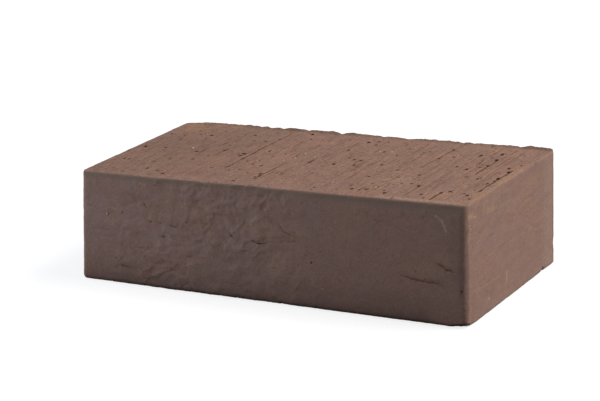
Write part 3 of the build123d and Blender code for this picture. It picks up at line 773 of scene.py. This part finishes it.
def rock(seed, size3):
    """An irregular crushed lump, centred on the origin, in mm."""
    r = np.random.default_rng(seed)
    pts = r.normal(size=(26, 3))
    pts /= np.linalg.norm(pts, axis=1)[:, None]
    pts *= r.uniform(0.86, 1.06, size=(26, 1))
    import bmesh
    bm = bmesh.new()
    for p in pts:
        bm.verts.new(tuple(p * size3))
    res = bmesh.ops.convex_hull(bm, input=bm.verts)
    loose = [v for v in bm.verts if not v.link_faces]
    bmesh.ops.delete(bm, geom=loose, context="VERTS")
    bmesh.ops.subdivide_edges(bm, edges=bm.edges[:], cuts=1, use_grid_fill=True)
    bmesh.ops.recalc_face_normals(bm, faces=bm.faces)
    bm.verts.index_update()
    v = np.array([v.co for v in bm.verts])
    f = [[w.index for w in face.verts] for face in bm.faces]
    bm.free()
    n = Perlin(seed + 900)
    v = v * (1 + 0.07 * n(v[:, 0] * 2.1, v[:, 1] * 2.1, v[:, 2] * 2.1))[:, None]
    return v, f


STAND = {"cream_grog_grains": 0.16, "ochre_grog_grains": 0.10, "quartz_grains": 0.22, "ironstone_grains": 0.12}
grain_objects = {}
for gi, name in enumerate(GRAINS):
    verts, faces, base = [], [], 0
    for k, (c, half) in enumerate(grain_list[name]):
        f = face_of(c)
        axis, sgn = FACE_N[f]
        a0, a1 = AX[f]
        # where the finished surface really lies above this grain
        d = (B[:, a0] - c[a0]) ** 2 + (B[:, a1] - c[a1]) ** 2 + 4 * (B[:, axis] - {"top": H, "bottom": 0, "front": -Y1, "back": Y1, "right": X1, "left": -X1}[f]) ** 2
        ring = np.nonzero((d > 2.0) & (d < 6.0))[0]
        level = float(np.mean(P[ring, axis]))
        shift = P[ring].mean(0) - B[ring].mean(0)
        size3 = np.array(half, float)
        size3[axis] = 0.5 * (size3[a0] + size3[a1])
        v, ff = rock(1000 * (gi + 1) + k, size3)
        mid = np.array(c, float) + shift
        mid[axis] = level - sgn * (size3[axis] * 0.62 - STAND[name])
        v = v + mid
        if f == "bottom":
            v[:, 2] = np.maximum(v[:, 2], 0.0)
        verts.append(v)
        faces += [[base + i for i in g] for g in ff]
        base += len(v)
    ob = new_object("grains_" + name.split("_")[0], np.concatenate(verts), faces)
    for p in ob.data.polygons:
        p.use_smooth = False
    grain_objects[name] = ob

# ---------------------------------------------------------------- materials
def tree(name):
    m = bpy.data.materials.new(name)
    m.use_nodes = True
    nt = m.node_tree
    nt.nodes.clear()
    out = nt.nodes.new("ShaderNodeOutputMaterial")
    bsdf = nt.nodes.new("ShaderNodeBsdfPrincipled")
    nt.links.new(bsdf.outputs[0], out.inputs[0])
    return m, nt, bsdf


class G:
    """Small wrapper that makes a node graph read like a sum."""

    def __init__(self, nt):
        self.nt = nt
        tc = nt.nodes.new("ShaderNodeTexCoord")
        sc = nt.nodes.new("ShaderNodeVectorMath")
        sc.operation = "SCALE"
        sc.inputs["Scale"].default_value = 1000.0
        nt.links.new(tc.outputs["Object"], sc.inputs[0])
        self.mm = sc.outputs[0]

    def put(self, sock, val):
        if hasattr(val, "is_output") or isinstance(val, bpy.types.NodeSocket):
            self.nt.links.new(val, sock)
        else:
            sock.default_value = val

    def math(self, op, a, b=None, c=None, clamp=False):
        n = self.nt.nodes.new("ShaderNodeMath")
        n.operation = op
        n.use_clamp = clamp
        self.put(n.inputs[0], a)
        if b is not None:
            self.put(n.inputs[1], b)
        if c is not None:
            self.put(n.inputs[2], c)
        return n.outputs[0]

    def scaled(self, s):
        n = self.nt.nodes.new("ShaderNodeVectorMath")
        n.operation = "MULTIPLY"
        self.put(n.inputs[0], self.mm)
        n.inputs[1].default_value = s
        return n.outputs[0]

    def noise(self, scale, detail=3.0, rough=0.5, vec=None, warp=0.0):
        n = self.nt.nodes.new("ShaderNodeTexNoise")
        self.put(n.inputs["Vector"], vec if vec is not None else self.mm)
        n.inputs["Scale"].default_value = scale
        n.inputs["Detail"].default_value = detail
        n.inputs["Roughness"].default_value = rough
        n.inputs["Distortion"].default_value = warp
        return n.outputs["Fac"]

    def cells(self, scale, vec=None):
        n = self.nt.nodes.new("ShaderNodeTexVoronoi")
        self.put(n.inputs["Vector"], vec if vec is not None else self.mm)
        n.inputs["Scale"].default_value = scale
        n.inputs["Randomness"].default_value = 1.0
        return n.outputs["Distance"], n.outputs["Color"]

    def ramp(self, x, a, b, lo=0.0, hi=1.0):
        n = self.nt.nodes.new("ShaderNodeMapRange")
        n.interpolation_type = "SMOOTHSTEP"
        self.put(n.inputs["Value"], x)
        n.inputs["From Min"].default_value = a
        n.inputs["From Max"].default_value = b
        n.inputs["To Min"].default_value = lo
        n.inputs["To Max"].default_value = hi
        return n.outputs["Result"]

    def attr(self, name):
        n = self.nt.nodes.new("ShaderNodeAttribute")
        n.attribute_name = name
        return n.outputs["Fac"]

    def mix(self, fac, a, b, mode="MIX"):
        n = self.nt.nodes.new("ShaderNodeMix")
        n.data_type = "RGBA"
        n.blend_type = mode
        self.put(n.inputs[0], fac)
        for i, v in ((6, a), (7, b)):
            if isinstance(v, tuple):
                v = (*v, 1.0)
            self.put(n.inputs[i], v)
        return n.outputs[2]

    def grey(self, v):
        n = self.nt.nodes.new("ShaderNodeCombineXYZ")
        for i in range(3):
            self.put(n.inputs[i], v)
        return n.outputs[0]

    def channel(self, col, i):
        n = self.nt.nodes.new("ShaderNodeSeparateColor")
        self.put(n.inputs[0], col)
        return n.outputs[i]

    def bump(self, height, strength, dist):
        n = self.nt.nodes.new("ShaderNodeBump")
        n.inputs["Strength"].default_value = strength
        n.inputs["Distance"].default_value = dist
        self.put(n.inputs["Height"], height)
        return n.outputs[0]


CLAY_WARM = (0.263, 0.149, 0.109)
CLAY_GREY = (0.238, 0.141, 0.107)
CLAY_DARK = (0.060, 0.036, 0.027)
OCHRE = (0.345, 0.205, 0.112)
PALE = (0.390, 0.285, 0.205)
OLIVE = (0.212, 0.143, 0.098)

m, nt, bsdf = tree("fired_clay")
g = G(nt)
cutf = g.attr("cut")
a_hollow_shade, a_och, a_pale, a_dark, a_oli = (g.attr(n) for n in ("cav", "ochre", "pale", "dark", "olive"))
big = g.noise(0.03, 4, 0.55, warp=0.6)
mid = g.noise(0.16, 5, 0.62)
fine = g.noise(0.85, 4, 0.68)
grit = g.noise(2.1, 3, 0.6)
drag = g.noise(0.55, 4, 0.6, vec=g.scaled((1.0, 0.07, 1.0)))
col = g.mix(g.math("MULTIPLY", g.ramp(big, 0.36, 0.64), g.math("MULTIPLY_ADD", g.attr("skin"), -0.55, 1.0)), CLAY_GREY, CLAY_WARM)
# light and dark, coarse to fine
lum = g.math("MULTIPLY_ADD", g.math("SUBTRACT", mid, 0.5), g.math("MULTIPLY_ADD", cutf, 0.29, 0.26), 1.0)
lum = g.math("MULTIPLY", lum, g.math("MULTIPLY_ADD", g.math("SUBTRACT", fine, 0.5), g.math("MULTIPLY_ADD", cutf, 0.65, 0.48), 1.0))
gritty = g.math("MULTIPLY", g.math("SUBTRACT", grit, 0.5), g.math("MULTIPLY_ADD", cutf, 0.84, 0.78))
lum = g.math("MULTIPLY", lum, g.math("ADD", gritty, 1.0))
drag2 = g.noise(1.15, 3, 0.6, vec=g.scaled((1.0, 0.05, 1.0)))
streak = g.math("MULTIPLY", g.math("ADD", g.math("SUBTRACT", drag, 0.5), g.math("SUBTRACT", drag2, 0.5)), g.math("MULTIPLY", cutf, 0.50))
lum = g.math("MULTIPLY", lum, g.math("ADD", streak, 1.0))
col = g.mix(1.0, col, g.grey(lum), "MULTIPLY")
# small specks of other clays, one chance per cell
dist, cc = g.cells(0.62)
r1, r2, r3 = (g.channel(cc, i) for i in range(3))
core = g.ramp(dist, 0.16, 0.42, 1.0, 0.0)
is_dark = g.math("MULTIPLY", core, g.ramp(r1, 0.78, 0.86))
is_pale = g.math("MULTIPLY", core, g.ramp(r2, 0.88, 0.94))
is_och = g.math("MULTIPLY", core, g.ramp(r3, 0.90, 0.95))
amount = g.math("MULTIPLY_ADD", cutf, 0.70, 0.18)
col = g.mix(g.math("MULTIPLY", is_dark, amount), col, CLAY_DARK)
col = g.mix(g.math("MULTIPLY", is_pale, g.math("MULTIPLY", amount, 0.55)), col, PALE)
col = g.mix(g.math("MULTIPLY", is_och, g.math("MULTIPLY", amount, 0.6)), col, OCHRE)
# the marks
broken = g.ramp(fine, 0.30, 0.62)
# a thin greyish bloom on the die skin, in smeared clouds
a_skin = g.attr("skin")
cloud = g.noise(0.072, 5, 0.60, warp=1.4)
bloom = g.math("MULTIPLY", g.ramp(cloud, 0.44, 0.66), a_skin)
col = g.mix(g.math("MULTIPLY", bloom, g.math("MULTIPLY_ADD", fine, 0.78, 0.0), clamp=True), col, (0.268, 0.188, 0.158))
thread = g.noise(0.17, 4, 0.6, warp=2.4)
vein = g.math("ABSOLUTE", g.math("SUBTRACT", thread, 0.5))
vein = g.math("MULTIPLY", g.ramp(vein, 0.0, 0.022, 1.0, 0.0), a_skin)
col = g.mix(g.math("MULTIPLY", vein, 0.22), col, (0.30, 0.215, 0.18))
col = g.mix(g.math("MULTIPLY", a_oli, 0.6), col, OLIVE)
col = g.mix(g.math("MULTIPLY", a_och, g.math("MULTIPLY_ADD", broken, 0.7, 0.2), clamp=True), col, OCHRE)
col = g.mix(g.math("MULTIPLY", a_pale, g.math("MULTIPLY_ADD", broken, 0.6, 0.3), clamp=True), col, PALE)
# dark: darker clay patches, and painted shade along the foot, the far burr, the arrises and the left part of the top
col = g.mix(g.math("MULTIPLY", a_dark, 0.7), col, (0.095, 0.055, 0.040))
# painted shade in hollows: pits, grooves and chips go dark brown, then near black
col = g.mix(g.ramp(a_hollow_shade, 0.06, 0.50, 0.0, 0.75), col, (0.120, 0.058, 0.034))
col = g.mix(g.ramp(a_hollow_shade, 0.38, 0.85, 0.0, 0.95), col, (0.036, 0.014, 0.008))
col = g.mix(g.attr("shade"), col, (0.012, 0.007, 0.005))
g.put(bsdf.inputs["Base Color"], col)
rough = g.math("MULTIPLY_ADD", fine, 0.22, 0.74)
rough = g.math("MULTIPLY_ADD", a_oli, -0.12, rough)
g.put(bsdf.inputs["Roughness"], rough)
bsdf.inputs["IOR"].default_value = 1.45
g.put(bsdf.inputs["Specular IOR Level"], g.ramp(a_hollow_shade, 0.1, 0.6, 0.28, 0.04))
height = g.math("MULTIPLY_ADD", grit, g.math("MULTIPLY_ADD", cutf, 0.65, 0.35), g.math("MULTIPLY", fine, 0.9))
height = g.math("MULTIPLY_ADD", drag, g.math("MULTIPLY", cutf, 0.45), height)
g.put(bsdf.inputs["Normal"], g.bump(height, 0.65, 0.00045))
clay = m


def grain_material(name, a, b, rough, speck):
    m, nt, bsdf = tree(name)
    g = G(nt)
    n1, n2 = g.noise(0.9, 4, 0.6), g.noise(4.0, 3, 0.6)
    col = g.mix(g.ramp(n1, 0.35, 0.65), a, b)
    col = g.mix(g.ramp(n2, 0.52, 0.70, 0.0, 0.55), col, speck)
    g.put(bsdf.inputs["Base Color"], col)
    g.put(bsdf.inputs["Roughness"], g.math("MULTIPLY_ADD", n2, 0.25, rough - 0.12))
    bsdf.inputs["Specular IOR Level"].default_value = 0.3
    g.put(bsdf.inputs["Normal"], g.bump(g.math("ADD", n1, n2), 0.5, 0.0002))
    return m


grain_mats = {
    "cream_grog_grains": grain_material("cream_grog", (0.46, 0.36, 0.265), (0.36, 0.265, 0.19), 0.85, (0.30, 0.20, 0.13)),
    "ochre_grog_grains": grain_material("ochre_grog", (0.42, 0.28, 0.16), (0.33, 0.20, 0.11), 0.88, (0.48, 0.37, 0.25)),
    "quartz_grains": grain_material("quartz", (0.50, 0.43, 0.35), (0.40, 0.33, 0.265), 0.6, (0.36, 0.28, 0.22)),
    "ironstone_grains": grain_material("ironstone", (0.040, 0.028, 0.024), (0.070, 0.042, 0.032), 0.70, (0.12, 0.07, 0.05)),
}

brick.data.materials.clear()
brick.data.materials.append(clay)
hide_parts("clay_body")
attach(brick, "root")
for name, ob in grain_objects.items():
    ob.data.materials.append(grain_mats[name])
    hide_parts(name)
    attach(ob, "root")

# ---------------------------------------------------------------- stage
floor_me = bpy.data.meshes.new("floor")
F = 9.0
floor_me.from_pydata([(-F, -F, 0), (F, -F, 0), (F, F, 0), (-F, F, 0)], [], [(0, 1, 2, 3)])
floor = bpy.data.objects.new("floor", floor_me)
floor.location.z = -0.00005
bpy.context.scene.collection.objects.link(floor)
fm = bpy.data.materials.new("floor_paper")
fm.use_nodes = True
nt = fm.node_tree
nt.nodes.clear()
out = nt.nodes.new("ShaderNodeOutputMaterial")
dif, dif2, em = nt.nodes.new("ShaderNodeBsdfDiffuse"), nt.nodes.new("ShaderNodeBsdfDiffuse"), nt.nodes.new("ShaderNodeEmission")
# what the floor throws back at the brick, dying away under its foot
tc = nt.nodes.new("ShaderNodeTexCoord")
sep = nt.nodes.new("ShaderNodeSeparateXYZ")
nt.links.new(tc.outputs["Object"], sep.inputs[0])


def step(op, a, b=None):
    n = nt.nodes.new("ShaderNodeMath")
    n.operation = op
    for sock, val in zip(n.inputs, (a, b)):
        if isinstance(val, float):
            sock.default_value = val
        elif val is not None:
            nt.links.new(val, sock)
    return n.outputs[0]


gap = step("MAXIMUM", step("SUBTRACT", step("ABSOLUTE", sep.outputs[0]), X1 / 1000), step("SUBTRACT", step("ABSOLUTE", sep.outputs[1]), Y1 / 1000))
fall = nt.nodes.new("ShaderNodeMapRange")
fall.interpolation_type = "SMOOTHSTEP"
nt.links.new(gap, fall.inputs["Value"])
fall.inputs["From Min"].default_value, fall.inputs["From Max"].default_value = 0.004, 0.060
fall.inputs["To Min"].default_value, fall.inputs["To Max"].default_value = 0.02, 1.22
ahead = nt.nodes.new("ShaderNodeMapRange")  # 1 in front of the brick, 0 elsewhere
nt.links.new(sep.outputs[1], ahead.inputs["Value"])
ahead.inputs["From Min"].default_value, ahead.inputs["From Max"].default_value = -Y1 / 1000 - 0.002, -Y1 / 1000 + 0.010
ahead.inputs["To Min"].default_value, ahead.inputs["To Max"].default_value = 1.0, 0.0
share = step("ADD", step("MULTIPLY", fall.outputs["Result"], ahead.outputs["Result"]), step("MULTIPLY", step("SUBTRACT", 1.0, ahead.outputs["Result"]), 1.45))
tint = nt.nodes.new("ShaderNodeVectorMath")
tint.operation = "SCALE"
tint.inputs[0].default_value = (0.19, 0.21, 0.24)
nt.links.new(share, tint.inputs["Scale"])
nt.links.new(tint.outputs[0], dif.inputs[0])
dif2.inputs[0].default_value = (0.32, 0.32, 0.32, 1)
em.inputs[0].default_value = (1, 1, 1, 1)
far = nt.nodes.new("ShaderNodeMapRange")  # the paper's own brightness rises away from the lamps
far.interpolation_type = "SMOOTHSTEP"
nt.links.new(step("SQRT", step("ADD", step("MULTIPLY", sep.outputs[0], sep.outputs[0]), step("MULTIPLY", sep.outputs[1], sep.outputs[1]))), far.inputs["Value"])
far.inputs["From Min"].default_value, far.inputs["From Max"].default_value = 0.45, 1.60
far.inputs["To Min"].default_value, far.inputs["To Max"].default_value = 0.79, 0.97
nt.links.new(far.outputs["Result"], em.inputs[1])
add, mixs, lp = nt.nodes.new("ShaderNodeAddShader"), nt.nodes.new("ShaderNodeMixShader"), nt.nodes.new("ShaderNodeLightPath")
nt.links.new(dif2.outputs[0], add.inputs[0])
nt.links.new(em.outputs[0], add.inputs[1])
nt.links.new(lp.outputs["Is Camera Ray"], mixs.inputs[0])
nt.links.new(dif.outputs[0], mixs.inputs[1])
nt.links.new(add.outputs[0], mixs.inputs[2])
nt.links.new(mixs.outputs[0], out.inputs[0])
floor_me.materials.append(fm)

world = bpy.data.worlds.new("studio")
bpy.context.scene.world = world
world.use_nodes = True
nt = world.node_tree
nt.nodes.clear()
out = nt.nodes.new("ShaderNodeOutputWorld")
bg1, bg2 = nt.nodes.new("ShaderNodeBackground"), nt.nodes.new("ShaderNodeBackground")
bg1.inputs[0].default_value = (0.84, 0.93, 1.04, 1)
bg1.inputs[1].default_value = 0.185
bg2.inputs[0].default_value = (1, 1, 1, 1)
bg2.inputs[1].default_value = 0.97
mixs, lp = nt.nodes.new("ShaderNodeMixShader"), nt.nodes.new("ShaderNodeLightPath")
nt.links.new(lp.outputs["Is Camera Ray"], mixs.inputs[0])
nt.links.new(bg1.outputs[0], mixs.inputs[1])
nt.links.new(bg2.outputs[0], mixs.inputs[2])
nt.links.new(mixs.outputs[0], out.inputs[0])


def area(name, at, to, w, hgt, power, colour=(1, 1, 1)):
    d = bpy.data.lights.new(name, "AREA")
    d.shape = "RECTANGLE"
    d.size, d.size_y = w, hgt
    d.energy = power
    d.color = colour
    ob = bpy.data.objects.new(name, d)
    at, to = np.array(at, float), np.array(to, float)
    z = (at - to) / np.linalg.norm(at - to)
    up = np.array([0, 0, 1.0]) if abs(z[2]) < 0.95 else np.array([0, 1.0, 0])
    xx = np.cross(up, z)
    xx /= np.linalg.norm(xx)
    yy = np.cross(z, xx)
    M = Matrix(((xx[0], yy[0], z[0], at[0]), (xx[1], yy[1], z[1], at[1]), (xx[2], yy[2], z[2], at[2]), (0, 0, 0, 1)))
    ob.matrix_world = M
    bpy.context.scene.collection.objects.link(ob)
    return ob


for lamp in (
    area("overhead", (0.85, 0.42, 1.25), (0.08, 0.02, 0), 1.0, 0.9, 22.5, (1.0, 0.955, 0.880)),
    area("right_soft", (1.7, 0.35, 0.65), (0.1, 0, 0.03), 1.2, 1.1, 13.3, (1.0, 0.965, 1.07)),
    area("left_fill", (-0.60, -0.52, 0.32), (-0.1, -0.06, 0.03), 0.28, 0.28, 3.45, (0.86, 0.91, 1.04)),
):
    lamp.visible_camera = False

# ---------------------------------------------------------------- camera
AZ, EL, ROLL = math.radians(25.9714), math.radians(2.3811), math.radians(-2.0602)
DIST, TX, TZ = 1.1723622, 0.0653569, 0.3245551
FOCAL = 2002.864
back = np.array([math.sin(AZ) * math.cos(EL), -math.cos(AZ) * math.cos(EL), math.sin(EL)])
right = np.array([math.cos(AZ), math.sin(AZ), 0.0])
upv = np.cross(back, right)
r2 = right * math.cos(ROLL) + upv * math.sin(ROLL)
u2 = -right * math.sin(ROLL) + upv * math.cos(ROLL)
pos = back * DIST + r2 * TX + u2 * TZ
cd = bpy.data.cameras.new("camera")
co = bpy.data.objects.new("camera", cd)
bpy.context.scene.collection.objects.link(co)
M = Matrix(((r2[0], u2[0], back[0], pos[0]), (r2[1], u2[1], back[1], pos[1]), (r2[2], u2[2], back[2], pos[2]), (0, 0, 0, 1)))
co.rotation_mode = "XYZ"
co.matrix_world = M
cd.sensor_width = 36.0
cd.lens = FOCAL * 36.0 / 600.0
cd.clip_start, cd.clip_end = 0.05, 60.0
SHIFT_X, SHIFT_Y = -0.2178, -0.8069
cd.shift_x, cd.shift_y = SHIFT_X, SHIFT_Y


def shift_at_main_view_only(prop, value):
    """The lens shift belongs to the main view, whose camera turns by Euler angles."""
    fc = cd.driver_add(prop)
    d = fc.driver
    d.type = "SUM"
    v = d.variables.new()
    v.name = "m"
    v.type = "SINGLE_PROP"
    t = v.targets[0]
    t.id_type = "OBJECT"
    t.id = co
    t.data_path = "rotation_mode"
    fc.keyframe_points.insert(0.0, 0.0)
    fc.keyframe_points.insert(1.0, value)
    for k in fc.keyframe_points:
        k.interpolation = "LINEAR"
    fc.extrapolation = "CONSTANT"
    for mod in list(fc.modifiers):
        fc.modifiers.remove(mod)


shift_at_main_view_only("shift_x", SHIFT_X)
shift_at_main_view_only("shift_y", SHIFT_Y)
bpy.context.scene.camera = co
bpy.context.scene.view_settings.view_transform = "Standard"
bpy.context.scene.view_settings.look = "None"
bpy.context.view_layer.update()
